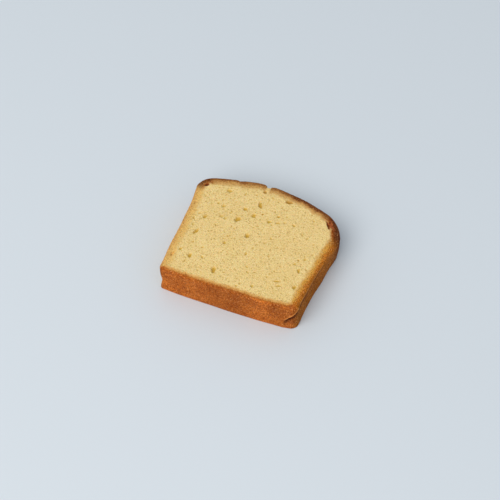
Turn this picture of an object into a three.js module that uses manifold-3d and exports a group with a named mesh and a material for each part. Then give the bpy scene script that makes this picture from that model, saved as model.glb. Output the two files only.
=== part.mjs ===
// One slice of weekend cake, a plain pound cake baked in a loaf tin, lying on its cut side.
// The loaf's bottom crust faces -Y, its domed and split top faces +Y, and the slice is cut
// square to the loaf, so the open crumb shows on +Z and on the underside.
// Millimetres, +Z up, origin at the middle of the slice's footprint.
import * as THREE from "three";
import { mergeVertices } from "three/addons/utils/BufferGeometryUtils.js";
import Module from "manifold-3d";

// ---- Driving dimensions ----

const THICKNESS = 18.5;

// The outline is drawn with X from the loaf's left side and Y up from its bottom crust.
const BASE = { middle: 38, halfSpan: 34, lift: 0.8 };
const LEFT = { wall: 0.9, lean: 1.1, leanFrom: 40, leanSpan: 16 };
const RIGHT = { wall: 75.2, flare: 5.7, flareFrom: 4, flareSpan: 46, flareCurve: 1.6 };
const DOME = { height: 69.9, crest: 33, dropLeft: 5.9, spanLeft: 28, dropRight: 7.0, spanRight: 38 };
const CORNER_RADIUS = { baseLeft: 1.4, baseRight: 3.6, shoulderRight: 10.3, shoulderLeft: 6.2 };
const MIDDLE = { x: 39, y: 34 };

// How the four crusts turn into the upper cut face, and the small round at the underside.
const EDGE_RADIUS = { base: 1.3, left: 0.9, dome: 0.9, right: 1.6, shoulder: 3.0 };
const FOOT_RADIUS = 0.4;

// The fold of the baking paper: a lip that climbs from the bottom crust round the right
// corner and fades up the right side. Distances are along the crust from that corner.
const FOLD = { start: -6.4, full: -4.2, fadeFrom: 24, end: 37, farFrom: 1, farTo: 6 };
const FOLD_BULGE = { near: 0.4, far: 0.1, span: 1.4 };

// Its line: place, height of the lip, and how deep the wall lies over it, under it and at
// the foot.
const FOLD_LINE = [
  [-6.4, 6.0, 0, 0.8, 0.1],
  [-4.6, 8.6, 0, 1.4, 0.2],
  [-3.0, 11.0, 0, 1.5, 0.4],
  [-1.2, 13.4, 0, 1.5, 0.65],
  [0.4, 15.2, 0.2, 1.5, 0.7],
  [2.0, 16.4, 0.6, 1.5, 0.6],
  [4.0, 16.8, 0.9, 1.5, 0.3],
  [7.0, 16.8, 1.0, 1.5, 0.2],
  [10.0, 16.2, 0.9, 1.4, 0.35],
  [13.0, 15.2, 0.8, 1.3, 0.45],
  [20.0, 15.0, 0.8, 1.3, 0.6],
  [24.0, 15.8, 0.8, 1.3, 0.7],
  [28.0, 16.8, 0.7, 1.2, 0.7],
];

// The pinch beside the left bottom corner, and the slow unevenness of all crusts.
const WAIST = { depth: 1.1, height: 6.5, spread: 4.2, reach: 11 };
const SWAY = { size: 0.22, spacing: 17 };

// The right shoulder swelled over the tin, so its crust tucks in towards the underside.
const TUCK = { depth: 1.0, from: 18, to: 38 };

// Two places where the risen top split along the loaf: how far along X, how wide, how deep.
const SPLITS = [
  { x: 19.8, width: 1.4, depth: 0.8, slant: 3 },
  { x: 35.8, width: 2.6, depth: 1.5, slant: -5 },
];

// The holes that catch the eye on the upper cut face: x, y, length, width, turn in degrees.
const LARGE_HOLES = [
  [48.6, 63.2, 4.0, 2.3, -10],
  [35.2, 56.1, 3.7, 2.1, 109],
  [27.4, 43.5, 3.5, 3.2, 60],
  [17.0, 59.2, 3.0, 2.2, 19],
  [28.8, 51.0, 2.6, 1.9, 19],
  [34.4, 48.5, 2.7, 2.4, 19],
  [17.6, 48.9, 2.1, 2.0, 0],
  [11.0, 39.1, 2.4, 2.0, 50],
  [10.1, 28.8, 3.8, 1.8, 72],
  [35.6, 35.4, 2.9, 2.5, 150],
  [43.1, 47.6, 2.1, 1.9, 0],
  [12.7, 13.6, 2.6, 2.4, 0],
  [4.1, 11.6, 3.4, 1.4, 67],
  [27.1, 9.7, 3.8, 2.7, 99],
  [67.4, 24.0, 2.6, 1.6, 109],
  [59.2, 14.3, 3.8, 1.4, 19],
  [60.8, 11.9, 3.2, 1.3, 30],
  [68.6, 14.0, 2.5, 2.1, 100],
  [4.7, 58.8, 2.4, 1.8, 25],
  [72.5, 56.1, 6.0, 1.8, -57],
];
const HOLE_DEPTH = 0.75; // share of a hole's width

// Smaller holes, scattered over both cut faces by a seeded rule.
const SMALL_HOLES = { upper: 74, under: 26, least: 0.9, most: 1.7, seed: 20, tries: 4000 };
const HOLE_MARGIN = 2.2; // crumb left between a scattered hole and the crust
const HOLE_GAP = 0.5; // crumb left between two holes
const REST_PATCH = 6; // whole crumb kept round the middle of the underside

const CRUST_COLOUR = 0xc98a4a;
const CRUST_ROUGHNESS = 0.85;

// ---- The outline of the loaf ----

const SIDE_POINTS = { base: 44, right: 32, dome: 48, left: 28 };
const TRACE_STEPS = 360;
const BISECTIONS = 40;
const OUTER_REACH = 80;

function smoothStep(from, to, value) {
  const t = THREE.MathUtils.clamp((value - from) / (to - from), 0, 1);
  return t * t * (3 - 2 * t);
}

// Joins two sides with an arc of the given radius. Values are negative inside.
function roundedCorner(a, b, radius) {
  const outside = Math.hypot(Math.max(radius + a, 0), Math.max(radius + b, 0));
  return Math.min(Math.max(a, b), -radius) + outside;
}

// How far a point lies outside the crust, close to a true distance near it.
function outsideOutline(x, y) {
  const base = BASE.lift * Math.abs((x - BASE.middle) / BASE.halfSpan) ** 3 - y;
  const leanShare = THREE.MathUtils.clamp((y - LEFT.leanFrom) / LEFT.leanSpan, 0, 1);
  const left = LEFT.wall - LEFT.lean * leanShare ** 1.5 - x;
  const flareShare = THREE.MathUtils.clamp((y - RIGHT.flareFrom) / RIGHT.flareSpan, 0, 1);
  const right = x - RIGHT.wall - RIGHT.flare * flareShare ** RIGHT.flareCurve;
  const along = x - DOME.crest;
  const drop = along < 0
    ? DOME.dropLeft * (-along / DOME.spanLeft) ** 1.5
    : DOME.dropRight * (along / DOME.spanRight) ** 2.1;
  const dome = y - DOME.height + drop;
  return Math.max(
    roundedCorner(left, base, CORNER_RADIUS.baseLeft),
    roundedCorner(right, base, CORNER_RADIUS.baseRight),
    roundedCorner(right, dome, CORNER_RADIUS.shoulderRight),
    roundedCorner(left, dome, CORNER_RADIUS.shoulderLeft),
  );
}

// The crust's place in one direction from the middle of the slice.
function crustPoint(angle) {
  const way = new THREE.Vector2(Math.cos(angle), Math.sin(angle));
  let near = 0;
  let far = OUTER_REACH;
  for (let i = 0; i < BISECTIONS; i += 1) {
    const reach = (near + far) / 2;
    const inside = outsideOutline(MIDDLE.x + way.x * reach, MIDDLE.y + way.y * reach) < 0;
    if (inside) near = reach;
    else far = reach;
  }
  return way.multiplyScalar(near).add(new THREE.Vector2(MIDDLE.x, MIDDLE.y));
}

function cornerAngle(x, y) {
  return Math.atan2(y - MIDDLE.y, x - MIDDLE.x);
}

// One crust from corner to corner, with its points evenly spaced.
function sidePoints(from, to, count) {
  const traced = [];
  for (let i = 0; i <= TRACE_STEPS; i += 1) {
    traced.push(crustPoint(THREE.MathUtils.lerp(from, to, i / TRACE_STEPS)));
  }
  return new THREE.Path(traced).getSpacedPoints(count).slice(0, count);
}

// The whole crust line, anticlockwise from the left bottom corner, each point with its
// outward direction and its distance along the crust from the right bottom corner.
function crustLine() {
  const baseLeft = cornerAngle(LEFT.wall, 0);
  const baseRight = cornerAngle(RIGHT.wall, 0);
  const shoulderRight = cornerAngle(RIGHT.wall + RIGHT.flare, DOME.height - DOME.dropRight);
  const shoulderLeft = cornerAngle(LEFT.wall - LEFT.lean, DOME.height - DOME.dropLeft);
  const fullTurn = 2 * Math.PI;
  const points = [
    ...sidePoints(baseLeft, baseRight, SIDE_POINTS.base),
    ...sidePoints(baseRight, shoulderRight, SIDE_POINTS.right),
    ...sidePoints(shoulderRight, shoulderLeft, SIDE_POINTS.dome),
    ...sidePoints(shoulderLeft, baseLeft + fullTurn, SIDE_POINTS.left),
  ];
  const run = [0];
  for (let i = 1; i < points.length; i += 1) {
    run.push(run[i - 1] + points[i].distanceTo(points[i - 1]));
  }
  return points.map((at, i) => {
    const before = points[(i + points.length - 1) % points.length];
    const after = points[(i + 1) % points.length];
    const along = after.clone().sub(before).normalize();
    return {
      at,
      outward: new THREE.Vector2(along.y, -along.x),
      fromCorner: run[i] - run[SIDE_POINTS.base],
    };
  });
}

// ---- The crust wall ----

// The round between crust and upper cut face, which is widest on the right shoulder.
function edgeRadius({ at, outward }) {
  const base = EDGE_RADIUS.base * Math.max(-outward.y, 0) ** 2;
  const left = EDGE_RADIUS.left * Math.max(-outward.x, 0) ** 2;
  const dome = EDGE_RADIUS.dome * Math.max(outward.y, 0) ** 2;
  const high = smoothStep(DOME.height * 0.45, DOME.height * 0.75, at.y);
  const side = THREE.MathUtils.lerp(EDGE_RADIUS.right, EDGE_RADIUS.shoulder, high);
  return base + left + dome + side * Math.max(outward.x, 0) ** 2;
}

// The fold where it crosses one place of the crust.
function foldAt(fromCorner) {
  const appears = smoothStep(FOLD.start, FOLD.full, fromCorner);
  const strength = appears * (1 - smoothStep(FOLD.fadeFrom, FOLD.end, fromCorner));
  const next = FOLD_LINE.findIndex(([place]) => place > fromCorner);
  const row = next < 0 ? FOLD_LINE.length - 1 : Math.max(next, 1);
  const [from, to] = [FOLD_LINE[row - 1], FOLD_LINE[row]];
  const t = THREE.MathUtils.clamp((fromCorner - from[0]) / (to[0] - from[0]), 0, 1);
  const [, lip, over, under, foot] = from.map((value, i) => THREE.MathUtils.lerp(value, to[i], t));
  // Away from the fold its height only spaces the rows of the wall.
  const rest = FOLD_LINE[0][1];
  const comes = smoothStep(FOLD.start - 14, FOLD.start - 2, fromCorner);
  const near = comes * (1 - smoothStep(FOLD.end, FOLD.end + 16, fromCorner));
  const far = smoothStep(FOLD.farFrom, FOLD.farTo, fromCorner);
  return {
    lip: THREE.MathUtils.lerp(rest, lip, near),
    over: over * strength,
    under: under * strength,
    foot: foot * strength,
    bulge: THREE.MathUtils.lerp(FOLD_BULGE.near, FOLD_BULGE.far, far) * strength,
  };
}

// How deep the fold sets the wall in: stepped back under its lip, a little swollen over it.
function foldInset(fromCorner, lip, z) {
  const { over, under, foot, bulge } = foldAt(fromCorner);
  if (z < lip) return THREE.MathUtils.lerp(foot, under, (z / lip) ** 1.3);
  return over - bulge * Math.exp((lip - z) / FOLD_BULGE.span);
}

function lipHeight(place) {
  return Math.min(foldAt(place.fromCorner).lip, THICKNESS - edgeRadius(place) - 0.4);
}

function waistInset({ at }, z) {
  const away = Math.hypot(at.x, at.y);
  const near = Math.max(1 - away / WAIST.reach, 0) ** 0.5;
  return WAIST.depth * near * Math.exp(-(((z - WAIST.height) / WAIST.spread) ** 2));
}

function tuckInset({ at, outward }, z) {
  const share = Math.max(outward.x, 0) * smoothStep(TUCK.from, TUCK.to, at.y);
  return TUCK.depth * share * (1 - z / THICKNESS) ** 1.5;
}

function sway({ at }, z) {
  const turn = (2 * Math.PI) / SWAY.spacing;
  const first = Math.sin(at.x * turn + z * 0.11) * Math.cos(at.y * turn * 0.8 + 1.3);
  const second = Math.sin((at.x - at.y) * turn * 0.45 + z * 0.21 + 0.6);
  return SWAY.size * (0.6 * first + 0.4 * second);
}

// The heights of one column of the wall, from the underside to the upper cut face. The two
// rows at the fold sit just under and just over its lip, wherever the lip is.
function columnHeights(place) {
  const radius = edgeRadius(place);
  const shoulder = THICKNESS - radius;
  const lip = lipHeight(place);
  const lower = [0.3, 0.55, 0.8, 0.96].map((t) => lip * t);
  const roundRows = [30, 60, 90].map((degrees) => {
    return shoulder + radius * Math.sin(THREE.MathUtils.degToRad(degrees));
  });
  return [
    0,
    FOOT_RADIUS * 0.35,
    FOOT_RADIUS,
    ...lower,
    lip + 0.1,
    (lip + 0.1 + shoulder) / 2,
    shoulder,
    ...roundRows,
  ];
}

function wallInset(place, z) {
  const radius = edgeRadius(place);
  const intoEdge = Math.max(z - (THICKNESS - radius), 0);
  const intoFoot = Math.max(FOOT_RADIUS - z, 0);
  return radius - Math.sqrt(Math.max(radius ** 2 - intoEdge ** 2, 0))
    + FOOT_RADIUS - Math.sqrt(FOOT_RADIUS ** 2 - intoFoot ** 2)
    + foldInset(place.fromCorner, lipHeight(place), z)
    + waistInset(place, z)
    + tuckInset(place, z)
    - sway(place, z);
}

// The closed slice before any hole is cut: the wall's rows of points, and a flat face
// over the first row and the last.
function wholeSlice() {
  const line = crustLine();
  const columns = line.map((place) => columnHeights(place).map((z) => {
    const inset = wallInset(place, z);
    return [place.at.x - place.outward.x * inset, place.at.y - place.outward.y * inset, z];
  }));
  const rows = columns[0].length;
  const count = columns.length;
  const positions = columns.flat(2);
  const indices = [];
  for (let i = 0; i < count; i += 1) {
    const next = (i + 1) % count;
    for (let j = 0; j < rows - 1; j += 1) {
      const [a, b] = [i * rows + j, next * rows + j];
      indices.push(a, b, b + 1, a, b + 1, a + 1);
    }
  }
  const faceOver = (row) => {
    const ring = columns.map((column) => new THREE.Vector2(column[row][0], column[row][1]));
    return THREE.ShapeUtils.triangulateShape(ring, []);
  };
  for (const [a, b, c] of faceOver(rows - 1)) {
    indices.push(a * rows + rows - 1, b * rows + rows - 1, c * rows + rows - 1);
  }
  for (const [a, b, c] of faceOver(0)) {
    indices.push(c * rows, b * rows, a * rows);
  }
  const geometry = new THREE.BufferGeometry();
  geometry.setAttribute("position", new THREE.Float32BufferAttribute(positions, 3));
  geometry.setIndex(indices);
  return geometry;
}

// ---- Holes in the crumb, and splits in the top crust ----

// Steps a seeded random number between 0 and 1.
function randomFrom(seed) {
  let state = seed;
  return () => {
    state = (Math.imul(state, 1664525) + 1013904223) >>> 0;
    return state / 2 ** 32;
  };
}

// Holes for one cut face that keep clear of the crust and of each other.
function scatteredHoles(count, random, taken, keepMiddle) {
  const holes = [...taken];
  const centre = { x: (RIGHT.wall + RIGHT.flare) / 2, y: DOME.height / 2 };
  for (let i = 0; i < SMALL_HOLES.tries && holes.length < taken.length + count; i += 1) {
    const x = random() * (RIGHT.wall + RIGHT.flare);
    const y = random() * DOME.height;
    const length = THREE.MathUtils.lerp(SMALL_HOLES.least, SMALL_HOLES.most, random() ** 2);
    const width = length * (0.65 + 0.35 * random());
    const turn = random() * 180;
    const clearOfCrust = outsideOutline(x, y) < -HOLE_MARGIN - length / 2;
    const offMiddle = Math.hypot(x - centre.x, y - centre.y) > keepMiddle;
    const clearOfHoles = holes.every((other) => {
      return Math.hypot(other[0] - x, other[1] - y) > (other[2] + length) / 2 + HOLE_GAP;
    });
    if (clearOfCrust && clearOfHoles && offMiddle) holes.push([x, y, length, width, turn]);
  }
  return holes.slice(taken.length);
}

// A hole is an uneven bubble cut open: its widest part lies just under the face.
function bubble([x, y, length, width, turn], faceHeight, inwards) {
  const depth = Math.max(width, 1) * HOLE_DEPTH;
  const shape = new THREE.IcosahedronGeometry(1, length > SMALL_HOLES.most ? 1 : 0);
  shape.scale(length / 2, width / 2, depth);
  shape.rotateZ(THREE.MathUtils.degToRad(turn));
  shape.translate(x, y, faceHeight + inwards * depth * 0.2);
  return shape;
}

// A wedge that opens the top crust all through the slice, leaning as the crack wandered.
function splitWedge({ x, width, depth, slant }) {
  const along = x - DOME.crest;
  const drop = along < 0
    ? DOME.dropLeft * (-along / DOME.spanLeft) ** 1.5
    : DOME.dropRight * (along / DOME.spanRight) ** 2.1;
  const over = 2;
  const profile = new THREE.Shape();
  profile.moveTo(-width * 0.15, -depth);
  profile.lineTo(width * 0.2, -depth);
  profile.lineTo(width * 0.5, 0);
  profile.lineTo(width * 0.5, over);
  profile.lineTo(-width * 0.45, over);
  profile.lineTo(-width * 0.45, -depth * 0.3);
  const wedge = new THREE.ExtrudeGeometry(profile, {
    depth: THICKNESS + 2 * over,
    steps: 1,
    bevelEnabled: false,
  });
  wedge.translate(0, 0, -over - THICKNESS);
  wedge.rotateY(THREE.MathUtils.degToRad(slant));
  wedge.translate(x, DOME.height - drop, THICKNESS);
  return wedge;
}

// ---- Cutting ----

const wasm = await Module();
wasm.setup();

function solidOf(geometry) {
  const plain = geometry.clone();
  plain.deleteAttribute("normal");
  plain.deleteAttribute("uv");
  const merged = mergeVertices(plain, 1e-4);
  return new wasm.Manifold(new wasm.Mesh({
    numProp: 3,
    vertProperties: merged.attributes.position.array,
    triVerts: new Uint32Array(merged.index.array),
  }));
}

function geometryOf(solid) {
  const mesh = solid.getMesh();
  const geometry = new THREE.BufferGeometry();
  geometry.setAttribute("position", new THREE.BufferAttribute(mesh.vertProperties, 3));
  geometry.setIndex(new THREE.BufferAttribute(mesh.triVerts, 1));
  return geometry;
}

function slicedCake() {
  const random = randomFrom(SMALL_HOLES.seed);
  const upper = scatteredHoles(SMALL_HOLES.upper, random, LARGE_HOLES, 0);
  const under = scatteredHoles(SMALL_HOLES.under, random, [], REST_PATCH);
  const cutters = [
    ...[...LARGE_HOLES, ...upper].map((hole) => bubble(hole, THICKNESS, -1)),
    ...under.map((hole) => bubble(hole, 0, 1)),
    ...SPLITS.map(splitWedge),
  ];
  return cutters.reduce((solid, cutter) => solid.subtract(solidOf(cutter)), solidOf(wholeSlice()));
}

// ---- The part ----

const geometry = geometryOf(slicedCake());
geometry.computeBoundingBox();
const middle = geometry.boundingBox.getCenter(new THREE.Vector3());
geometry.translate(-middle.x, -middle.y, -geometry.boundingBox.min.z);
geometry.computeVertexNormals();

const slice = new THREE.Mesh(geometry, new THREE.MeshStandardMaterial({
  color: CRUST_COLOUR,
  roughness: CRUST_ROUGHNESS,
  metalness: 0,
}));
slice.name = "cake_slice";

const cake = new THREE.Group();
cake.add(slice);

export default cake;
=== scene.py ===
import math

import bpy
import numpy as np
from mathutils import Matrix, Vector, noise


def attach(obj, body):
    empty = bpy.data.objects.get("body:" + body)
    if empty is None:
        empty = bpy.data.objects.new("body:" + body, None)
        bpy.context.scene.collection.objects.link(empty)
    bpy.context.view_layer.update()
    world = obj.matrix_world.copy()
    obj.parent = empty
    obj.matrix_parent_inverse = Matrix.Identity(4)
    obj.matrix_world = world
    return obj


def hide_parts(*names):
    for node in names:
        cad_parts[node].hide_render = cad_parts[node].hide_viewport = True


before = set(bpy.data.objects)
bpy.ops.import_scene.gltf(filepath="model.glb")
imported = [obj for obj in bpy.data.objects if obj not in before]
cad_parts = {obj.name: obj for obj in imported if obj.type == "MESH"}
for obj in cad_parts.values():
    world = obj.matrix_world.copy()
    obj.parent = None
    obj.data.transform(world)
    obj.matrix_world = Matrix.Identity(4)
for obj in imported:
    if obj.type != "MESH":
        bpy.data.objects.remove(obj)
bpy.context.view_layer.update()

metre = 1000  # the slice is drawn in mm

# x runs from the loaf's left side, y up from its bottom crust, z through the slice
loaf = {
    "thickness": 18.5,
    "middle": (39.0, 34.0),
    "base": {"middle": 38.0, "halfSpan": 34.0, "lift": 0.8, "curve": 3},
    "left": {"wall": 0.9, "lean": 1.1, "leanFrom": 40.0, "leanSpan": 16.0, "leanCurve": 1.5},
    "right": {"wall": 75.2, "flare": 5.7, "flareFrom": 4.0, "flareSpan": 46.0, "flareCurve": 1.6},
    "dome": {"height": 69.9, "crest": 33.0, "dropLeft": 5.9, "spanLeft": 28.0, "curveLeft": 1.5,
             "dropRight": 7.0, "spanRight": 38.0, "curveRight": 2.1},
    "corners": {"baseLeft": 1.4, "baseRight": 3.6, "shoulderRight": 10.3, "shoulderLeft": 6.2},
}

# how finely it is drawn
sliceMesh = {
    "across": 240,  # points along the base and the dome
    "up": 204,  # and up each side
    # rows of the wall: shares of the foot's round, then how many under the fold, over it and on the edge
    "rows": {"onFoot": (0, 0.2, 0.5, 1), "underFold": 15, "overFold": 13, "onEdge": 7},
    # the crust's line is found by halving from this far out, at this many places a side
    "search": {"from": 80.0, "halvings": 40, "places": 2400},
    "underside": 0.985,  # its grid's size inside the wall's first row
    "sharpFrom": 55,  # degrees
}

# where each thing left to chance starts; layers of noise count on from there
seeds = {"edge": 1, "grain": 2, "torn": 5, "baked": 8, "upperFace": 11, "holes": 20, "lowerFace": 21}

crustRelief = {
    # the round between crust and upper cut face, which widens up the right side to the shoulder
    "edge": {"base": 1.3, "left": 0.9, "dome": 0.9, "right": 1.6, "shoulder": 3.0,
             "shoulderFrom": 0.45, "shoulderTo": 0.75, "wobble": 0.2, "wobbleSpacing": 3.1},
    "foot": 0.4,
    # the baking paper's fold, placed along the crust from the right bottom corner
    "fold": {"start": -6.4, "full": -4.2, "fadeFrom": 24.0, "end": 37.0, "farFrom": 1.0, "farTo": 6.0,
             "bulge": 0.4, "bulgeFar": 0.1, "bulgeSpan": 1.4, "stepCurve": 1.3, "pulledIn": 0.7,
             # dark, darkFar and darkFull: the painted shade on the wall under the lip; rimFull and rimEnd:
             # the painted highlight along the lip
             "dark": 1.0, "darkFar": 0.8, "darkFull": 0.42, "rimFull": 0.4, "rimEnd": 1.2,
             "belowEdge": 0.4, "halfGap": 0.04, "easeIn": (14, 2), "easeOut": 16},
    # how far down the wall under the lip the painted shade reaches, at places along the fold
    "foldShade": ((-6.4, 4.0), (-4.6, 5.4), (-3.0, 5.8), (-1.2, 6.6), (0.4, 8.4), (2.0, 8.0), (4.0, 6.2),
                  (7.0, 5.2), (13.0, 4.6), (28.0, 4.2)),
    # its rows: place, height of the lip, and how deep the wall lies over it, under it and at the foot
    "foldLine": ((-6.4, 6.0, 0.0, 0.8, 0.1), (-4.6, 8.6, 0.0, 1.4, 0.2), (-3.0, 11.0, 0.0, 1.5, 0.4),
                 (-1.2, 13.4, 0.0, 1.5, 0.65), (0.4, 15.2, 0.2, 1.5, 0.7), (2.0, 16.4, 0.6, 1.5, 0.6),
                 (4.0, 16.8, 0.9, 1.5, 0.3), (7.0, 16.8, 1.0, 1.5, 0.2), (10.0, 16.2, 0.9, 1.4, 0.35),
                 (13.0, 15.2, 0.8, 1.3, 0.45), (20.0, 15.0, 0.8, 1.3, 0.6), (24.0, 15.8, 0.8, 1.3, 0.7),
                 (28.0, 16.8, 0.7, 1.2, 0.7)),
    # the pinch beside the left bottom corner, and the right shoulder's tuck towards the underside
    "waist": {"depth": 1.1, "height": 6.5, "spread": 4.2, "reach": 11.0},
    "tuck": {"depth": 1.2, "from": 27.0, "to": 45.0, "curve": 2.6},
    # two slow waves, and a grain whose layers are strength and spacing
    "sway": {"size": 0.22, "spacing": 17.0, "shares": (0.6, 0.4), "lean": (0.11, 0.21),
             "stretch": (0.8, 0.45), "shift": (1.3, 0.6)},
    "grain": {"size": 0.11, "layers": ((1.0, 0.9), (0.8, 2.6)), "footFade": 1.2, "topFade": 0.5},
}

# where the risen top split: how deep the crust lies at distances across the crack,
# between which of them the crumb shows, and how far the crack wanders through the slice
splits = [
    {"at": 19.6, "wander": 0.05, "open": None,
     "across": (-1.8, -0.7, 0.0, 0.5, 3.0, 8.0), "depth": (0.0, 0.15, 0.6, 0.65, 0.3, 0.0)},
    {"at": 34.7, "wander": -0.09, "open": (0.0, 2.0),
     "across": (-9.0, -3.0, -1.2, -0.3, 0.3, 1.7, 2.3, 4.0, 8.0),
     "depth": (0.0, -0.35, -0.15, 0.6, 1.35, 1.05, 0.3, -0.15, 0.0)},
]
splitFade = {"start": (-0.4, 0.1), "end": (-0.2, 0.4)}  # how softly its bare crumb starts and ends

# crust and crumb came apart at both shoulders: x, y, half length, half width, turn, depth
tornPlaces = [
    (72.5, 56.1, 3.4, 0.75, -57, 0.9),
    (74.0, 57.2, 4.8, 1.6, -57, 0.5),
    (4.7, 58.8, 1.2, 0.9, 25, 1.0),
]
tornShape = {"layers": ((0.5, 0.9), (0.5, 2.0)), "outside": 1.15, "full": 0.55}

# the larger holes: x, y, length, width, turn in degrees, depth, and how dark the inside is baked
bigHoles = [
    (48.6, 63.2, 4, 2.3, -10, 1.5, 0.32),
    (35.2, 56.1, 3.7, 2.1, 109, 1.1, 0),
    (27.4, 43.5, 3.5, 3.2, 60, 1.05, 0),
    (17, 59.2, 3, 2.2, 19, 0.6, 0.1),
    (28.8, 51, 2.6, 1.9, 19, 0.75, 0),
    (34.4, 48.5, 2.7, 2.4, 19, 0.8, 0),
    (17.6, 48.9, 2.1, 2, 0, 0.6, 0.1),
    (11, 39.1, 2.4, 2, 50, 0.9, 0),
    (19, 42.2, 2.2, 1.6, 19, 0.5, 0),
    (10.1, 28.8, 3.8, 1.8, 72, 1, 0.05),
    (35.6, 35.4, 2.9, 2.5, 150, 1, 0),
    (34.6, 65, 2.5, 1.7, 10, 1.0, 0.35),
    (43.1, 47.6, 2.1, 1.9, 0, 0.7, 0),
    (46.5, 52.4, 1.8, 1.5, 0, 0.8, 0.1),
    (47.7, 48.4, 2.2, 1.4, 30, 0.5, 0),
    (55.8, 49.9, 1.6, 1.4, 0, 0.8, 0.05),
    (26.3, 27.1, 1.7, 1.6, 0, 0.7, 0.1),
    (12.7, 13.6, 2.6, 2.4, 0, 0.9, 0),
    (6.8, 15.8, 1.7, 1.6, 0, 0.7, 0),
    (4.1, 11.6, 3.4, 1.5, 67, 1.1, 0.5),
    (27.1, 9.7, 3.8, 2.7, 99, 1.1, 0),
    (38.9, 24.6, 1.9, 1.5, 100, 0.6, 0),
    (47.7, 37.9, 1.2, 1.1, 0, 0.6, 0.1),
    (65.2, 30.3, 1.3, 1.1, 0, 0.9, 0.3),
    (68.1, 31.7, 1.6, 1.4, 0, 0.6, 0),
    (64.2, 27.4, 1.6, 1.4, 0, 0.6, 0),
    (67.4, 24, 2.6, 1.6, 109, 0.8, 0),
    (59.2, 14.3, 3.8, 1.2, 19, 0.8, 0),
    (60.8, 11.9, 3.2, 1, 30, 0.6, 0),
    (68.6, 14, 2.5, 2.1, 100, 1, 0),
    (41.2, 4.6, 1.6, 1.1, 19, 0.6, 0),
    (48.7, 7.3, 1.9, 1.5, 60, 0.6, 0),
    (38.5, 51.1, 1.1, 1, 0, 0.7, 0.35),
    (18.1, 36.1, 1.1, 1, 0, 0.7, 0.3),
    (5.8, 36.6, 1.8, 1.2, 100, 0.6, 0.1),
    (3, 46, 2, 1.1, 70, 0.6, 0.1),
    (42.4, 6.6, 1.2, 1, 0, 0.5, 0),
    (75.9, 37.6, 1.7, 0.9, 70, 0.8, 0.5),
    (65.0, 44.5, 1.4, 1.1, 30, 0.5, 0.1),
]

# the smaller ones are scattered; the margin is crumb kept whole inside the crust
scatteredHoles = {
    "medium": {"count": 80, "least": 0.9, "most": 1.6, "depth": 0.45, "margin": 1.6},
    "fine": {"count": 1000, "least": 0.45, "most": 0.9, "depth": 0.28, "margin": 0.6},
    "tries": 8,  # for each hole wanted
    "apart": 0.15,
    # by chance: the least, and how much more
    "slim": (0.6, 0.4),
    "deep": (0.6, 0.8),
    "dark": (0, 0.12),
}

holeShape = {
    # waves round its outline: how many, how large, and how each hole shifts them
    "waves": ((2, 0.14, 1.0), (3, 0.1, 2.1), (5, 0.06, 1.0)),
    "reach": 0.75,
    "bowlCurve": 0.8,
    # where its colour starts and where it is full, in shares of its radius
    "outside": 1.12,
    "full": 0.55,
    # painted shade: how much darker a hole's inside gets with its depth
    "paintedShadeByDepth": 0.16,
    # the depth in mm at which a hole's painted golden glow is full
    "deepEnough": 0.7,
}

# the cut faces' roughness: layers of strength and spacing, how deep it lies, and where it fades out
faceRelief = {"layers": ((0.05, 0.7), (0.06, 2.2), (0.08, 9)), "depth": 0.08, "border": 1, "fade": 1.5}


def smooth(low, high, value):
    share = np.clip((value - low) / (high - low), 0, 1)
    return share * share * (3 - 2 * share)


def column(values):
    return values[:, None]


def turned(dx, dy, degrees):
    # the same step seen along and across a turned direction
    cos, sin = math.cos(math.radians(degrees)), math.sin(math.radians(degrees))
    return dx * cos + dy * sin, dy * cos - dx * sin


def roundedCorner(a, b, radius):
    outside = np.hypot(np.maximum(radius + a, 0), np.maximum(radius + b, 0))
    return np.minimum(np.maximum(a, b), -radius) + outside


def domeHeight(x):
    dome = loaf["dome"]
    along = x - dome["crest"]
    leftDrop = dome["dropLeft"] * (np.maximum(-along, 0) / dome["spanLeft"]) ** dome["curveLeft"]
    rightDrop = dome["dropRight"] * (np.maximum(along, 0) / dome["spanRight"]) ** dome["curveRight"]
    return dome["height"] - leftDrop - rightDrop


def outsideCrust(x, y, corners=loaf["corners"]):
    # how far a point lies outside the loaf's outline; negative inside
    base, left, right = loaf["base"], loaf["left"], loaf["right"]
    under = base["lift"] * np.abs((x - base["middle"]) / base["halfSpan"]) ** base["curve"] - y
    leanShare = np.clip((y - left["leanFrom"]) / left["leanSpan"], 0, 1)
    leftOut = left["wall"] - left["lean"] * leanShare ** left["leanCurve"] - x
    flareShare = np.clip((y - right["flareFrom"]) / right["flareSpan"], 0, 1)
    rightOut = x - right["wall"] - right["flare"] * flareShare ** right["flareCurve"]
    over = y - domeHeight(x)
    return np.maximum.reduce([
        roundedCorner(leftOut, under, corners["baseLeft"]),
        roundedCorner(rightOut, under, corners["baseRight"]),
        roundedCorner(rightOut, over, corners["shoulderRight"]),
        roundedCorner(leftOut, over, corners["shoulderLeft"]),
    ])


def facingShares(outX, outY):
    # how much a point whose crust faces this way belongs to each of the four crusts
    return {"base": np.maximum(-outY, 0) ** 2, "left": np.maximum(-outX, 0) ** 2,
            "dome": np.maximum(outY, 0) ** 2, "right": np.maximum(outX, 0) ** 2}


def onTopCrust(outY):
    return smooth(0.7, 0.9, outY)


def traceCrust(angles):
    # the crust's place in each direction from the middle, by halving
    near, far = np.zeros_like(angles), np.full_like(angles, sliceMesh["search"]["from"])
    middleX, middleY = loaf["middle"]
    for _ in range(sliceMesh["search"]["halvings"]):
        reach = (near + far) / 2
        inside = outsideCrust(middleX + np.cos(angles) * reach, middleY + np.sin(angles) * reach) < 0
        near, far = np.where(inside, reach, near), np.where(inside, far, reach)
    return np.stack([middleX + np.cos(angles) * near, middleY + np.sin(angles) * near], axis=1)


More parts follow.
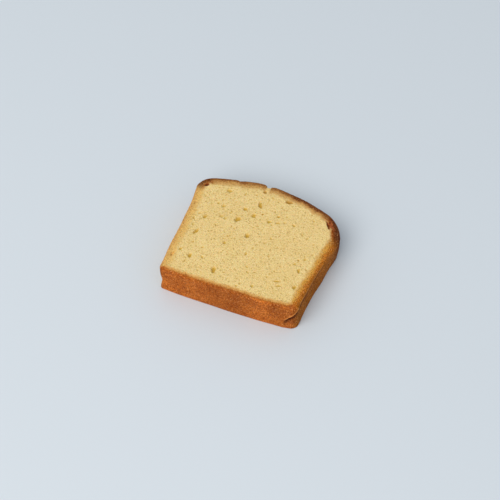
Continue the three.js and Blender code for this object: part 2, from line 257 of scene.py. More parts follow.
def crustSide(fromAngle, toAngle, count):
    # evenly spaced points along one side, without its last
    traced = traceCrust(np.linspace(fromAngle, toAngle, sliceMesh["search"]["places"]))
    run = np.r_[0, np.cumsum(np.hypot(*np.diff(traced, axis=0).T))]
    places = np.linspace(0, run[-1], count + 1)[:-1]
    return np.stack([np.interp(places, run, traced[:, 0]), np.interp(places, run, traced[:, 1])], axis=1)


def crustLine():
    # the outline anticlockwise from the left bottom corner, each point's outward direction,
    # and its distance along the crust from the right bottom corner
    middleX, middleY = loaf["middle"]
    left, right, dome = loaf["left"], loaf["right"], loaf["dome"]
    cornerPoints = [
        (left["wall"], 0),
        (right["wall"], 0),
        (right["wall"] + right["flare"], dome["height"] - dome["dropRight"]),
        (left["wall"] - left["lean"], dome["height"] - dome["dropLeft"]),
    ]
    angles = [math.atan2(y - middleY, x - middleX) for x, y in cornerPoints]
    angles.append(angles[0] + 2 * math.pi)
    counts = [sliceMesh["across"], sliceMesh["up"]] * 2
    points = np.concatenate([crustSide(angles[i], angles[i + 1], counts[i]) for i in range(4)])
    along = np.roll(points, -1, axis=0) - np.roll(points, 1, axis=0)
    along /= column(np.hypot(*along.T))
    outward = np.stack([along[:, 1], -along[:, 0]], axis=1)
    run = np.r_[0, np.cumsum(np.hypot(*np.diff(points, axis=0).T))]
    return points, outward, run - run[sliceMesh["across"]]


def edgeRadius(y, outX, outY):
    edge, height = crustRelief["edge"], loaf["dome"]["height"]
    high = smooth(height * edge["shoulderFrom"], height * edge["shoulderTo"], y)
    radius = {**edge, "right": edge["right"] + (edge["shoulder"] - edge["right"]) * high}
    return sum(radius[side] * share for side, share in facingShares(outX, outY).items())


def foldAt(fromCorner):
    # how strong the fold is at each point of the crust, how far round the corner, and its line
    fold = crustRelief["fold"]
    strength = smooth(fold["start"], fold["full"], fromCorner)
    strength = strength * (1 - smooth(fold["fadeFrom"], fold["end"], fromCorner))
    places, *rest = zip(*crustRelief["foldLine"])
    lip, over, under, foot = (np.interp(fromCorner, places, values) for values in rest)
    # away from the fold its height only spaces the mesh rows
    easeFrom, easeTo = fold["easeIn"]
    near = smooth(fold["start"] - easeFrom, fold["start"] - easeTo, fromCorner)
    near = near * (1 - smooth(fold["end"], fold["end"] + fold["easeOut"], fromCorner))
    lip = rest[0][0] + (lip - rest[0][0]) * near
    far = smooth(fold["farFrom"], fold["farTo"], fromCorner)
    return strength, far, lip, over * strength, under * strength, foot * strength


def waveNoise(points, size, seed):
    # smooth noise between -1 and 1 at points given in mm, with features about size mm across
    shift = Vector((seed * 7.31, seed * 3.17, seed * 5.73))
    return np.array([noise.noise(Vector(p) / size + shift) for p in points])


def layeredNoise(points, layers, seed):
    total = 0
    for number, (strength, size) in enumerate(layers):
        total = total + strength * waveNoise(points, size, seed + number)
    return total


def slowSway(x, y, z):
    # no crust is quite flat
    sway = crustRelief["sway"]
    shares, lean, stretch, shift = (sway[name] for name in ("shares", "lean", "stretch", "shift"))
    turn = 2 * math.pi / sway["spacing"]
    slow = shares[0] * np.sin(x * turn + z * lean[0]) * np.cos(y * turn * stretch[0] + shift[0])
    slow = slow + shares[1] * np.sin((x - y) * turn * stretch[1] + z * lean[1] + shift[1])
    return sway["size"] * slow


def crackDip(x, z, onDome):
    # how deep the split top crust lies, and where its crumb shows
    dip, bare = np.zeros(np.broadcast(x, z).shape), np.zeros(np.broadcast(x, z).shape)
    (startOut, startIn), (endIn, endOut) = splitFade["start"], splitFade["end"]
    for split in splits:
        across = x - split["at"] - split["wander"] * (loaf["thickness"] - z)
        dip = dip + onDome * np.interp(across, split["across"], split["depth"])
        if split["open"]:
            low, high = split["open"]
            shows = smooth(low + startOut, low + startIn, across)
            shows = shows * (1 - smooth(high + endIn, high + endOut, across))
            bare = np.maximum(bare, onDome * shows)
    return dip, bare


def wallHeights(lip, shoulder, radius):
    # the rows' heights: on the foot's round, up to the fold's lip, on to the edge, and over it
    foot, gap, rows = crustRelief["foot"], crustRelief["fold"]["halfGap"], sliceMesh["rows"]
    under, above, over = rows["underFold"], rows["overFold"], rows["onEdge"]
    heights = [np.full(len(lip), foot * share) for share in rows["onFoot"]]
    heights += [foot + (lip - gap - foot) * k / under for k in range(1, under + 1)]
    heights += [lip + gap + (shoulder - lip - gap) * k / above for k in range(above + 1)]
    heights += [shoulder + radius * math.sin(math.pi / 2 * k / over) for k in range(1, over + 1)]
    return np.stack(heights, axis=1)


def foldInset(z, fromCorner, strength, far, lip, overLip, underLip, atFoot):
    # under the fold's lip the wall steps back, over it the lip bulges a little; and its marks: painted shade
    # on the wall under the lip, and a painted highlight along the lip
    fold = crustRelief["fold"]
    nearToFar = lambda name: column(fold[name] + (fold[name + "Far"] - fold[name]) * far)
    below = column(lip) - z
    stepShare = np.clip(z / column(lip), 0, 1) ** fold["stepCurve"]
    stepBack = column(atFoot) + column(underLip - atFoot) * stepShare
    bulge = column(strength) * nearToFar("bulge") * np.exp(-np.maximum(-below, 0) / fold["bulgeSpan"])
    inset = np.where(below > 0, stepBack, column(overLip) - bulge)
    # over the fold the crust is pulled in, so the colours start deeper
    pulledIn = np.where(below > 0, 0, fold["pulledIn"] * column(overLip))
    shade = column(np.interp(fromCorner, *zip(*crustRelief["foldShade"])))
    # painted shade on the wall under the lip, where the fold's overhang shades it
    dark = np.where(below > 0, smooth(1, fold["darkFull"], below / shade), 0)
    # painted highlight along the lip's edge
    rim = np.where(below < 0, smooth(fold["rimEnd"], fold["rimFull"], -below), 0)
    marks = {"underFold": column(strength) * nearToFar("dark") * dark, "foldRimHighlight": column(strength) * rim}
    return inset, pulledIn, marks


def crustWall(points, outward, fromCorner):
    # rows of the wall from the underside to the upper cut face, with what the finish needs
    relief, thickness = crustRelief, loaf["thickness"]
    edge, foot, grain = relief["edge"], relief["foot"], relief["grain"]
    x, y = points.T
    outX, outY = outward.T
    flat = np.c_[points, np.zeros(len(x))]
    wobble = 1 + edge["wobble"] * waveNoise(flat, edge["wobbleSpacing"], seeds["edge"])
    radius = edgeRadius(y, outX, outY) * wobble
    shoulder = thickness - radius
    strength, far, lip, *foldDepths = foldAt(fromCorner)
    lip = np.minimum(lip, shoulder - relief["fold"]["belowEdge"])
    z = wallHeights(lip, shoulder, radius)

    intoEdge = np.clip(z - column(shoulder), 0, None)
    rounding = column(radius) - np.sqrt(np.maximum(column(radius) ** 2 - intoEdge ** 2, 0))
    inset = rounding + foot - np.sqrt(np.maximum(foot ** 2 - np.maximum(foot - z, 0) ** 2, 0))
    folded, pulledIn, marks = foldInset(z, fromCorner, strength, far, lip, *foldDepths)
    inset = inset + folded

    waist, tuck = relief["waist"], relief["tuck"]
    near = np.sqrt(np.maximum(1 - np.hypot(x, y) / waist["reach"], 0))
    inset = inset + waist["depth"] * column(near) * np.exp(-((z - waist["height"]) / waist["spread"]) ** 2)
    tucked = np.maximum(outX, 0) * smooth(tuck["from"], tuck["to"], y)
    inset = inset + tuck["depth"] * column(tucked) * (1 - z / thickness) ** tuck["curve"]
    inset = inset - slowSway(column(x), column(y), z)
    dip, marks["splitOpen"] = crackDip(column(x), z, onTopCrust(column(outY)))
    inset = inset + dip

    where = np.stack([column(x) - column(outX) * inset, column(y) - column(outY) * inset, z], axis=2)
    rough = grain["size"] * layeredNoise(where.reshape(-1, 3), grain["layers"], seeds["grain"])
    steady = smooth(0, grain["footFade"], z) * (1 - smooth(thickness - grain["topFade"], thickness, z))
    where[:, :, :2] += (rough.reshape(z.shape) * steady)[:, :, None] * outward[:, None, :]
    depth = rounding + pulledIn
    return where, depth, inset[:, -1] - depth[:, -1], marks


def patch(ring, across, up):
    # fills a closed ring of points, which starts at a corner, with a grid drawn between its four sides
    base = ring[:across + 1]
    right = ring[across:across + up + 1]
    dome = ring[across + up:2 * across + up + 1][::-1]
    left = np.concatenate([ring[2 * across + up:], ring[:1]])[::-1]
    u = np.linspace(0, 1, across + 1)[:, None, None]
    v = np.linspace(0, 1, up + 1)[None, :, None]
    sides = (1 - v) * base[:, None] + v * dome[:, None] + (1 - u) * left[None] + u * right[None]
    corners = (1 - u) * (1 - v) * base[0] + u * (1 - v) * base[-1] + (1 - u) * v * dome[0] + u * v * dome[-1]
    return sides - corners


def drawRandom(seed):
    # the same draws between 0 and 1 on every run
    state = seed
    while True:
        state = (state * 1664525 + 1013904223) % 2 ** 32
        yield state / 2 ** 32


def scatter(taken, sizes, draw):
    # holes that keep clear of the crust and of each other
    byChance = lambda name: scatteredHoles[name][0] + scatteredHoles[name][1] * next(draw)
    holes, placed = [], [hole[:3] for hole in taken]
    width = loaf["right"]["wall"] + loaf["right"]["flare"]
    for _ in range(sizes["count"] * scatteredHoles["tries"]):
        if len(holes) == sizes["count"]:
            break
        x, y = next(draw) * width, next(draw) * loaf["dome"]["height"]
        length = sizes["least"] + (sizes["most"] - sizes["least"]) * next(draw) ** 2
        slim, turn, deep = byChance("slim"), next(draw) * 180, byChance("deep")
        if outsideCrust(np.float64(x), np.float64(y)) > -sizes["margin"] - length / 2:
            continue
        spots = np.array(placed).reshape(-1, 3)
        clear = (spots[:, 2] + length) / 2 + scatteredHoles["apart"]
        if (np.hypot(spots[:, 0] - x, spots[:, 1] - y) < clear).any():
            continue
        holes.append((x, y, length, length * slim, turn, sizes["depth"] * deep, byChance("dark")))
        placed.append((x, y, length))
    return holes


def drawHoles():
    draw = drawRandom(seeds["holes"])
    upper = list(bigHoles)
    upper += scatter(upper, scatteredHoles["medium"], draw)
    upper += scatter(upper, scatteredHoles["fine"], draw)
    lower = scatter([], scatteredHoles["medium"], draw)
    print("holes", len(upper), "above and", len(lower), "below")
    return upper, lower


def sinkHoles(x, y, holes):
    # how deep each point of a cut face lies, how far inside a hole it is, and how dark that hole is, baked
    # and with painted shade by depth
    depth, inside, baked = np.zeros_like(x), np.zeros_like(x), np.zeros_like(x)
    for number, (holeX, holeY, length, width, turn, deep, dark) in enumerate(holes):
        reach = length * holeShape["reach"]
        near = np.nonzero((np.abs(x - holeX) < reach) & (np.abs(y - holeY) < reach))[0]
        if not len(near):
            continue
        along, cross = turned(x[near] - holeX, y[near] - holeY, turn)
        along, cross = along / (length / 2), cross / (width / 2)
        angle = np.arctan2(cross, along)
        outline = 1
        for count, size, shift in holeShape["waves"]:
            outline = outline + size * np.sin(count * angle + shift * number)
        out = np.hypot(along, cross) / outline
        bowl = np.sqrt(np.clip(1 - out ** 2, 0, 1)) ** holeShape["bowlCurve"]
        share = smooth(holeShape["outside"], holeShape["full"], out)
        # the hole's listed baked darkness, raised by painted shade that grows with its depth
        darkness = max(dark, holeShape["paintedShadeByDepth"] * deep)
        depth[near] = np.maximum(depth[near], deep * bowl)
        baked[near] = np.maximum(baked[near], darkness * share)
        inside[near] = np.maximum(inside[near], min(deep / holeShape["deepEnough"], 1) * share)
    return depth, inside, baked


def sinkTorn(x, y):
    # how deep the torn places lie, and how far inside one each point is
    sink, inside = np.zeros_like(x), np.zeros_like(x)
    ragged = layeredNoise(np.c_[x, y, np.zeros(len(x))], tornShape["layers"], seeds["torn"])
    for tornX, tornY, halfLength, halfWidth, turn, deep in tornPlaces:
        along, across = turned(x - tornX, y - tornY, turn)
        out = np.hypot(along / halfLength, across / halfWidth) + ragged
        share = smooth(tornShape["outside"], tornShape["full"], out)
        sink, inside = np.maximum(sink, deep * share), np.maximum(inside, share * min(deep, 1))
    return sink, inside


def cutFace(grid, holes, torn, seed):
    # sinks the holes and a slight roughness into a flat grid, leaving its border alone
    x, y = grid[:, :, 0].ravel(), grid[:, :, 1].ravel()
    depth, inside, baked = sinkHoles(x, y, holes)
    tornDepth, tornInside = sinkTorn(x, y) if torn else (0 * x, 0 * x)
    rough = layeredNoise(np.c_[x, y, np.zeros(len(x))], faceRelief["layers"], seed)
    fade = smooth(0, faceRelief["fade"], -outsideCrust(x, y) - faceRelief["border"])
    sink = np.maximum(depth, tornDepth) + (rough + faceRelief["depth"]) * fade
    sink = sink.reshape(grid.shape[:2])
    sink[0, :] = sink[-1, :] = 0
    sink[:, 0] = sink[:, -1] = 0
    return sink, {"holeInside": inside, "holeBakedAndShaded": baked, "torn": tornInside}


bakedLine = {
    # how deep the baked colour reaches in from each crust, and how ragged its inner line is
    "reach": {"base": 3.8, "left": 6.0, "dome": 6.0, "right": 6.2},
    "ragged": {"base": 0.45, "left": 0.7, "dome": 0.6, "right": 0.75},
    "layers": ((0.8, 1.3), (1.0, 4.1)),
    "strength": 0.8,
    "fullAt": 1.5,
    # how round the crumb's corners are
    "corners": {**loaf["corners"], "baseRight": 8.0, "baseLeft": 3.0},
}

# where the crust itself is thicker: x, y, how far it reaches, and how much thicker
thickCrust = [
    (76.0, 0.0, 24.0, 0.6),
    (46.0, 0.0, 22.0, 0.2),
    (77.5, 56.0, 9.0, 1.2),
]

# where the crust is baked darkest, with painted shade at the left bottom corner and partly painted
# self-shadow at the right shoulder: x, y, how far it reaches, how strong, and how deep
scorchedAndShaded = [
    # the right shoulder: baked dark, and partly its painted self-shadow
    (78.5, 56.5, 15.0, 1.0, 0.95),
    (60.0, 68.0, 20.0, 0.8, 0.44),
    (14.0, 69.0, 14.0, 0.35, 0.3),
    (2.0, 60.5, 7.5, 0.85, 0.8),
    (38.0, 0.0, 18.0, 0.3, 0.3),
    (68.0, 0.0, 10.0, 0.24, 0.2),
    (18.0, 0.0, 12.0, 0.1, 0.2),
    # painted shade at the left bottom corner
    (0.6, 0.4, 2.4, 0.6, 0.2),
]
# the share of a spot's reach within which it is full, and how softly a dark one ends inwards
spotShape = {"thickFull": 0.3, "darkFull": 0.35, "darkEnd": 0.12, "darkInside": 0.15}


def crustDirection(x, y):
    # which way the nearest crust faces
    step, tiny = 0.05, 1e-6
    outX = outsideCrust(x + step, y) - outsideCrust(x - step, y)
    outY = outsideCrust(x, y + step) - outsideCrust(x, y - step)
    size = np.maximum(np.hypot(outX, outY), tiny)
    return outX / size, outY / size


def bakedMarks(x, y, z, depthInCrust):
    # 0 on the crust to 1 in the crumb, which crust each point belongs to, and how dark it is baked, the
    # painted shade of a few spots included
    outX, outY = crustDirection(x, y)
    faces = facingShares(outX, outY)
    reach = sum(bakedLine["reach"][side] * share for side, share in faces.items())
    uneven = sum(bakedLine["ragged"][side] * share for side, share in faces.items())
    thicker = np.zeros_like(x)
    for spotX, spotY, spotReach, extra in thickCrust:
        near = smooth(1, spotShape["thickFull"], np.hypot(x - spotX, y - spotY) / spotReach)
        thicker = np.maximum(thicker, extra * near)
    rounder = outsideCrust(x, y, bakedLine["corners"]) - outsideCrust(x, y)
    depth = np.maximum(depthInCrust - thicker - rounder, 0)
    ragged = layeredNoise(np.c_[x, y, z], bakedLine["layers"], seeds["baked"])
    ragged = bakedLine["strength"] * uneven * ragged * np.minimum(depth, bakedLine["fullAt"])
    share = depth / reach + ragged / reach
    dark = np.zeros_like(x)
    for spotX, spotY, spotReach, strength, deep in scorchedAndShaded:
        near = smooth(1, spotShape["darkFull"], np.hypot(x - spotX, y - spotY) / spotReach)
        outer = smooth(deep + spotShape["darkEnd"], deep - spotShape["darkInside"], share)
        dark = np.maximum(dark, strength * near * outer)
    marks = {"crumbShare": np.clip(share, 0, 1), "scorchedAndShaded": dark, "uneven": uneven}
    marks.update({"facesDome": faces["dome"], "facesRight": faces["right"], "facesLeft": faces["left"]})
    return marks, onTopCrust(outY)


def depthUnderCrust(x, y, ringX, ringY, ringOffset):
    # how far a point of a cut face lies inside the crust, with the crust's own dips taken off
    middleX, middleY = loaf["middle"]
    ringAngles = np.arctan2(ringY - middleY, ringX - middleX)
    order = np.argsort(ringAngles)
    angles = np.arctan2(y - middleY, x - middleX)
    offset = np.interp(angles, ringAngles[order], ringOffset[order], period=2 * math.pi)
    return np.maximum(-outsideCrust(x, y) - offset, 0)


def gridFaces(index, upwards):
    a, b = index[:-1], index[1:]
    corners = [a[:, :-1], b[:, :-1], b[:, 1:], a[:, 1:]]
    return np.stack(corners if upwards else corners[::-1], axis=2).reshape(-1, 4)


def upperIndex(ring, across, up, firstInside):
    # the upper cut face's point numbers: the wall's last row round its border, its own points inside
    index = np.empty((across + 1, up + 1), int)
    index[1:-1, 1:-1] = np.arange((across - 1) * (up - 1)).reshape(across - 1, up - 1) + firstInside
    index[:, 0] = ring[:across + 1]
    index[-1, :] = ring[across:across + up + 1]
    index[:, -1] = ring[across + up:2 * across + up + 1][::-1]
    index[0, :] = np.r_[ring[2 * across + up:], ring[:1]][::-1]
    return index


def sewTriangles(ring, index):
    # joins the wall's first row to the border of a grid that has half as many points
    border = np.r_[index[:-1, 0], index[-1, :-1], index[:0:-1, -1], index[0, :0:-1]]
    outer, nextOuter, between = ring[::2], np.roll(ring[::2], -1), ring[1::2]
    nextBorder = np.roll(border, -1)
    seams = [(between, outer, border), (between, border, nextBorder), (nextOuter, between, nextBorder)]
    return np.concatenate([np.stack(seam, axis=1) for seam in seams])


def sliceObject(vertices, faces, marks):
    mesh = bpy.data.meshes.new("cakeSlice")
    faceList = [tuple(face) for part in faces for face in part.tolist()]
    mesh.from_pydata((vertices / metre).tolist(), [], faceList)
    mesh.validate()
    mesh.update()
    for name, values in marks.items():
        mark = mesh.attributes.new(name, "FLOAT", "POINT")
        mark.data.foreach_set("value", values.astype(np.float32))
    mesh.shade_smooth()
    mesh.set_sharp_from_angle(angle=math.radians(sliceMesh["sharpFrom"]))
    slicePiece = bpy.data.objects.new("cakeSlice", mesh)
    bpy.context.collection.objects.link(slicePiece)
    print("slice", len(mesh.vertices), "points", len(mesh.polygons), "faces")
    return slicePiece


def buildSlice():
    points, outward, fromCorner = crustLine()
    wall, wallDepth, ringOffset, wallMarks = crustWall(points, outward, fromCorner)
    across, up, thickness = sliceMesh["across"], sliceMesh["up"], loaf["thickness"]
    ringSize, rows = wall.shape[:2]
    wallCount = ringSize * rows
    print("wall", ringSize, "by", rows)

    # the underside is a coarser grid, a little inside the wall's first row
    upperHoles, lowerHoles = drawHoles()
    topGrid = patch(wall[:, -1, :2], across, up)
    topSink, topMarks = cutFace(topGrid, upperHoles, True, seeds["upperFace"])
    middle = np.array(loaf["middle"])
    lowRing = middle + (wall[::2, 0, :2] - middle) * sliceMesh["underside"]
    lowGrid = patch(lowRing, across // 2, up // 2)
    lowSink, lowMarks = cutFace(lowGrid, lowerHoles, False, seeds["lowerFace"])
    topPoints = np.dstack([topGrid, thickness - topSink])[1:-1, 1:-1].reshape(-1, 3)
    lowPoints = np.dstack([lowGrid, lowSink]).reshape(-1, 3)
    vertices = np.concatenate([wall.reshape(-1, 3), topPoints, lowPoints])

    ringIndex = np.arange(wallCount).reshape(ringSize, rows)
    lowIndex = np.arange(lowSink.size).reshape(lowSink.shape) + wallCount + len(topPoints)
    faces = [
        gridFaces(np.r_[ringIndex, ringIndex[:1]], True),
        gridFaces(upperIndex(ringIndex[:, -1], across, up, wallCount), True),
        gridFaces(lowIndex, False),
        sewTriangles(ringIndex[:, 0], lowIndex),
    ]

    # what the finish needs to know about each point
    depths = np.concatenate([
        wallDepth.ravel(),
        depthUnderCrust(*topPoints.T[:2], *points.T, ringOffset),
        depthUnderCrust(*lowPoints.T[:2], *points.T, 0 * ringOffset),
    ])
    marks, onDome = bakedMarks(*vertices.T, depths)
    inner = lambda values: values.reshape(topSink.shape)[1:-1, 1:-1].ravel()
    for name in topMarks:
        marks[name] = np.concatenate([np.zeros(wallCount), inner(topMarks[name]), lowMarks[name]])
    faceBare = crackDip(vertices[wallCount:, 0], vertices[wallCount:, 2], onDome[wallCount:])[1]
    onFaces = {"splitOpen": faceBare, "underFold": 0 * faceBare, "foldRimHighlight": 0 * faceBare}
    for name, values in wallMarks.items():
        marks[name] = np.concatenate([values.ravel(), onFaces[name]])
    marks["heightInSlice"] = vertices[:, 2] / thickness

    low, high = vertices[:wallCount].min(axis=0), vertices[:wallCount].max(axis=0)
    vertices = vertices - np.array([(low[0] + high[0]) / 2, (low[1] + high[1]) / 2, 0])
    return sliceObject(vertices, faces, marks)


def colour(red, green, blue):
    # screen values 0 to 255 as linear light
    values = np.array([red, green, blue]) / 255
    linear = np.where(values <= 0.04045, values / 12.92, ((values + 0.055) / 1.055) ** 2.4)
    return (*linear.tolist(), 1)


crumbFinish = {
    "pale": colour(244, 213, 146),
    "warm": colour(233, 198, 126),
    "speck": colour(186, 150, 74),
    "glint": colour(255, 236, 184),
    # inside the holes: a painted golden glow of the light scattered through the crumb, and a darker tone for
    # baked insides and painted shade deep down
    "hole": colour(202, 161, 52),
    "holeDeep": colour(148, 102, 18),
    "patchSize": 7.0,
    "mottleSize": 1.3,
    "grainSize": 0.45,
    "speckSize": 0.95,
    "poreSpacing": 1.6,
    "roughness": 0.9,
}

# each crust from its outside inwards: the skin, its darker patches, its edge on the cut face,
# and the toasted crumb behind it
crustFinish = {
    "base": {"skin": colour(228, 128, 48), "dark": colour(151, 68, 18),
             "edge": colour(196, 112, 38), "toast": colour(230, 172, 94)},
    "right": {"skin": colour(224, 130, 24), "dark": colour(151, 82, 12),
              "edge": colour(206, 124, 34), "toast": colour(224, 166, 72)},
    "left": {"skin": colour(230, 178, 110), "dark": colour(204, 144, 74),
             "edge": colour(243, 192, 108), "toast": colour(240, 196, 114)},
    # the top crust's skin is partly painted lighter and paler, a painted sheen where it is seen at a grazing
    # angle
    "dome": {"skin": colour(162, 119, 80), "dark": colour(119, 80, 50),
             "edge": colour(160, 106, 50), "toast": colour(212, 163, 94)},
    "lowRight": colour(152, 82, 8),
    # tones of the darkest-baked spots, also laid as painted shade at the left bottom corner and the right
    # shoulder
    "scorchedAndShadedDark": colour(92, 36, 4),
    "scorchedAndShaded": colour(160, 76, 4),
    # painted shade under the fold's lip, and a painted highlight along the lip
    "underFold": colour(82, 34, 10),
    "foldRimHighlight": colour(226, 150, 80),
    "torn": colour(112, 50, 22),
    "tornPale": colour(186, 106, 58),
    # deepest part of a torn place: dark baked inside with painted shade
    "tornDeep": colour(120, 62, 20),
    "pit": colour(110, 54, 18),
    "fleckPale": colour(228, 166, 108),
    "fleckDark": colour(82, 38, 8),
    "broadSize": 7.5,
    "mottleSize": 2.2,
    "gritSize": 1.0,
    "raggedSize": 0.9,
    "pitSpacing": 1.1,
    "roughness": 0.85,
}

# soft and matt, with a little light passing through
cakeShader = {
    "Specular IOR Level": 0.07,
    "Subsurface Weight": 0.12,
    "Subsurface Radius": (1.0, 0.55, 0.22),
    "Subsurface Scale": 0.0007,
}
cakeBump = {"pores": 0.5, "pits": 0.5, "grit": 0.4, "grain": 0.35, "strength": 0.6, "distance": 0.0004}


class Wiring:
    # small helper to place nodes and join them
    def __init__(self, tree):
        self.tree = tree

    def add(self, kind, inputs=None, **settings):
        node = self.tree.nodes.new("ShaderNode" + kind)
        for name, value in settings.items():
            setattr(node, name, value)
        for name, value in (inputs or {}).items():
            self.put(value, node.inputs[name])
        return node

    def put(self, value, socket):
        if isinstance(value, bpy.types.NodeSocket):
            self.tree.links.new(value, socket)
        else:
            socket.default_value = value

    def mark(self, name):
        return self.add("Attribute", attribute_name=name).outputs["Fac"]

    def maths(self, operation, first, second=0.0, third=0.0):
        return self.add("Math", {0: first, 1: second, 2: third}, operation=operation).outputs[0]

    def times(self, first, second):
        return self.maths("MULTIPLY", first, second)

    def step(self, value, low, high):
        places = {"Value": value, "From Min": low, "From Max": high}
        return self.add("MapRange", places, interpolation_type="SMOOTHSTEP").outputs["Result"]

    def blend(self, share, first, second):
        node = self.tree.nodes.new("ShaderNodeMix")
        node.data_type, node.clamp_factor = "RGBA", True
        self.put(share, node.inputs[0])
        self.put(first, node.inputs[6])
        self.put(second, node.inputs[7])
        return node.outputs[2]

    def layers(self, lowest, rows):
        # lays tones over each other: where each shows, how strongly, and the tone
        for where, strength, tone in rows:
            share = where if strength == 1 else self.times(where, strength)
            lowest = self.blend(share, lowest, tone)
        return lowest

    def noise(self, place, size, detail=2.0, rough=0.55):
        settings = {"Vector": place, "Scale": 1 / size, "Detail": detail, "Roughness": rough}
        return self.add("TexNoise", settings).outputs["Fac"]

    def pores(self, place, spacing, least, most):
        # round pores of uneven size: 1 in their middle, 0 between them
        cells = self.add("TexVoronoi", {"Vector": place, "Scale": 1 / spacing})
        luck = self.add("SeparateColor", {0: cells.outputs["Color"]}).outputs[0]
        radius = self.maths("MULTIPLY_ADD", luck, most - least, least)
        return self.step(self.maths("SUBTRACT", cells.outputs["Distance"], radius), 0.1, -0.1)


def crumbColour(wire, place):
    # pale and warm patches, a fine grain, small pores, and golden insides of the larger holes, a painted
    # glow of light scattered in them that turns darker with depth as painted shade
    finish = crumbFinish
    patches = wire.step(wire.noise(place, finish["patchSize"], 3.0), 0.3, 0.7)
    mottle = wire.step(wire.noise(place, finish["mottleSize"], 3.0), 0.42, 0.68)
    grain = wire.noise(place, finish["grainSize"], 2.0, 0.6)
    specks = wire.step(wire.noise(place, finish["speckSize"], 1.5, 0.5), 0.6, 0.74)
    pores = wire.pores(place, finish["poreSpacing"], -0.05, 0.26)
    crumb = wire.layers(finish["pale"], [
        (patches, 0.5, finish["warm"]),
        (mottle, 0.5, finish["warm"]),
        (wire.step(grain, 0.5, 0.7), 0.76, finish["speck"]),
        (wire.step(grain, 0.46, 0.32), 0.6, finish["glint"]),
        (specks, 0.6, finish["speck"]),
        (pores, 0.7, finish["speck"]),
        (wire.mark("holeInside"), 0.85, finish["hole"]),
        (wire.step(wire.mark("holeBakedAndShaded"), 0.05, 0.6), 1, finish["holeDeep"]),
    ])
    return crumb, wire.maths("MAXIMUM", pores, specks), grain


def crustStages(wire, place):
    # skin, edge and toast, each blended between the four crusts; and the pits and grit of the skin
    finish = crustFinish
    broad = wire.step(wire.noise(place, finish["broadSize"], 3.0), 0.34, 0.66)
    grit = wire.step(wire.noise(place, finish["gritSize"], 3.0, 0.7), 0.36, 0.64)
    mix = wire.maths("MULTIPLY_ADD", broad, 0.34, wire.times(grit, 0.66))
    shares = {"right": wire.mark("facesRight"), "left": wire.mark("facesLeft"),
              "dome": wire.mark("facesDome")}
    skins = {side: wire.blend(mix, finish[side]["skin"], finish[side]["dark"]) for side in ("base", *shares)}
    # the right side is darker and mottled towards its foot
    low = wire.step(wire.mark("heightInSlice"), 0.95, 0.45)
    mottle = wire.step(wire.noise(place, finish["mottleSize"], 2.0), 0.38, 0.62)
    low = wire.times(low, wire.maths("MULTIPLY_ADD", mottle, 0.5, 0.45))
    skins["right"] = wire.blend(low, skins["right"], finish["lowRight"])
    skin, edge, toast = skins["base"], finish["base"]["edge"], finish["base"]["toast"]
    for side, share in shares.items():
        skin = wire.blend(share, skin, skins[side])
        edge = wire.blend(share, edge, finish[side]["edge"])
        toast = wire.blend(share, toast, finish[side]["toast"])
    pits = wire.pores(place, finish["pitSpacing"], -0.05, 0.28)
    skin = wire.blend(wire.times(pits, 0.6), skin, finish["pit"])
    edge = wire.blend(wire.times(grit, 0.3), edge, finish["pit"])
    toast = wire.blend(wire.times(grit, 0.15), toast, edge)
    return skin, edge, toast, pits, grit


def raggedShare(wire, place):
    # 0 on the crust to 1 in the crumb, made ragged on the way
    share = wire.mark("crumbShare")
    ragged = wire.maths("SUBTRACT", wire.noise(place, crustFinish["raggedSize"], 2.0, 0.7), 0.5)
    ragged = wire.times(ragged, wire.mark("uneven"))
    onWay = wire.times(share, wire.maths("SUBTRACT", 1.0, share))
    return wire.maths("MULTIPLY_ADD", ragged, wire.times(onWay, 2.8), share)


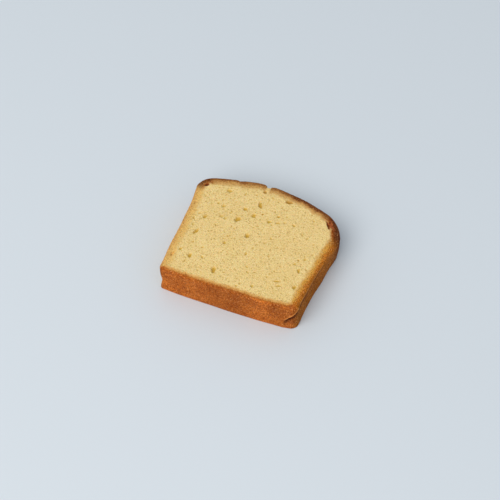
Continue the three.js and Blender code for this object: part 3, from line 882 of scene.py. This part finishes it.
def bakedCake():
    material = bpy.data.materials.new("bakedCake")
    material.use_nodes = True
    tree = material.node_tree
    shader = tree.nodes["Principled BSDF"]
    wire, finish = Wiring(tree), crustFinish
    inMetres = wire.add("TexCoord").outputs["Object"]
    place = wire.add("VectorMath", {0: inMetres, "Scale": float(metre)}, operation="SCALE").outputs[0]
    crumb, pores, grain = crumbColour(wire, place)
    skin, edge, toast, pits, grit = crustStages(wire, place)
    share, torn = raggedShare(wire, place), wire.mark("torn")
    # tones of the darkest-baked spots, which also paint shade at the left bottom corner and the right
    # shoulder
    burntAndShaded = wire.blend(wire.step(share, 0.3, 0.6), finish["scorchedAndShadedDark"], finish["scorchedAndShaded"])
    gritty = wire.maths("MULTIPLY_ADD", wire.mark("facesRight"), 0.3, 0.62)
    tornSkin = wire.blend(grit, finish["tornPale"], finish["torn"])
    cake = wire.layers(skin, [
        (wire.step(share, 0.0, 0.25), 1, edge),
        (wire.step(share, 0.2, 0.55), 1, toast),
        (wire.mark("scorchedAndShaded"), 1, burntAndShaded),
        (wire.step(grain, 0.55, 0.7), gritty, finish["fleckPale"]),
        (wire.step(grain, 0.49, 0.34), gritty, finish["fleckDark"]),
        # painted highlight along the fold's lip, then painted shade under it
        (wire.mark("foldRimHighlight"), 0.5, finish["foldRimHighlight"]),
        (wire.mark("underFold"), 0.95, finish["underFold"]),
        (wire.step(share, 0.52, 0.98), 1, crumb),
        (wire.mark("splitOpen"), 0.85, crumb),
        (wire.step(torn, 0.15, 0.45), 1, tornSkin),
        # deep in the torn places: dark baked inside with painted shade
        (wire.step(torn, 0.5, 0.9), 1, finish["tornDeep"]),
    ])
    tree.links.new(cake, shader.inputs["Base Color"])

    rough = wire.add("MapRange", {"Value": share, "To Min": finish["roughness"],
                                  "To Max": crumbFinish["roughness"]})
    tree.links.new(rough.outputs["Result"], shader.inputs["Roughness"])
    for name, value in cakeShader.items():
        shader.inputs[name].default_value = value

    relief = 0.0
    for name, pattern in {"pores": pores, "pits": pits, "grit": grit, "grain": grain}.items():
        relief = wire.maths("MULTIPLY_ADD", pattern, -cakeBump[name], relief)
    bump = wire.add("Bump", {"Height": relief, "Strength": cakeBump["strength"],
                             "Distance": cakeBump["distance"]})
    tree.links.new(bump.outputs["Normal"], shader.inputs["Normal"])
    return material


print("building the slice")
cakeSlice = buildSlice()
cakeSlice.data.materials.append(bakedCake())
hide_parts("cake_slice")
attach(cakeSlice, "root")

studio = {
    "floor": {"half": 3, "colour": colour(213, 219, 224), "roughness": 0.55},
    "window": {"from": (-0.35, -1.15, 1.4), "size": 1.5, "power": 23.0, "tint": (1.0, 0.985, 0.96)},
    "room": {"tint": (0.88, 0.94, 1.0, 1), "strength": 0.58},
}


def layFloor():
    half = studio["floor"]["half"]
    mesh = bpy.data.meshes.new("floor")
    corners = [(-half, -half, 0), (half, -half, 0), (half, half, 0), (-half, half, 0)]
    mesh.from_pydata(corners, [], [(0, 1, 2, 3)])
    material = bpy.data.materials.new("paleFloor")
    material.use_nodes = True
    shader = material.node_tree.nodes["Principled BSDF"]
    shader.inputs["Base Color"].default_value = studio["floor"]["colour"]
    shader.inputs["Roughness"].default_value = studio["floor"]["roughness"]
    mesh.materials.append(material)
    floor = bpy.data.objects.new("floor", mesh)
    bpy.context.collection.objects.link(floor)


def lightRoom():
    window, room = studio["window"], studio["room"]
    lamp = bpy.data.lights.new("window", "AREA")
    lamp.shape, lamp.size, lamp.energy, lamp.color = "DISK", window["size"], window["power"], window["tint"]
    holder = bpy.data.objects.new("window", lamp)
    bpy.context.collection.objects.link(holder)
    holder.location = window["from"]
    holder.rotation_euler = (-Vector(window["from"])).to_track_quat("-Z", "Y").to_euler()
    world = bpy.data.worlds.new("room")
    world.use_nodes = True
    background = world.node_tree.nodes["Background"]
    background.inputs["Color"].default_value = room["tint"]
    background.inputs["Strength"].default_value = room["strength"]
    bpy.context.scene.world = world
    bpy.context.scene.view_settings.view_transform = "Standard"


print("laying the floor")
layFloor()
print("lighting")
lightRoom()

view = {
    "lens": 102.1,
    "sensor": 36,
    "azimuth": 19.18,
    "elevation": 54.76,
    "roll": 1.43,
    "distance": 0.7424,
    "target": (-0.0044, 0.00466, 0.0),
}


def placeCamera():
    azimuth, elevation, roll = (math.radians(view[name]) for name in ("azimuth", "elevation", "roll"))
    level = math.cos(elevation)
    back = Vector((math.sin(azimuth) * level, -math.cos(azimuth) * level, math.sin(elevation)))
    right = Vector((math.cos(azimuth), math.sin(azimuth), 0))
    up = back.cross(right)
    tiltedRight = right * math.cos(roll) + up * math.sin(roll)
    tiltedUp = up * math.cos(roll) - right * math.sin(roll)
    camera = bpy.data.objects.new("camera", bpy.data.cameras.new("camera"))
    camera.data.lens, camera.data.sensor_width = view["lens"], view["sensor"]
    turnedCamera = Matrix((tiltedRight, tiltedUp, back)).transposed().to_4x4()
    camera.matrix_world = Matrix.Translation(Vector(view["target"]) + back * view["distance"]) @ turnedCamera
    bpy.context.collection.objects.link(camera)
    bpy.context.scene.camera = camera


print("placing the camera")
placeCamera()
bpy.context.view_layer.update()
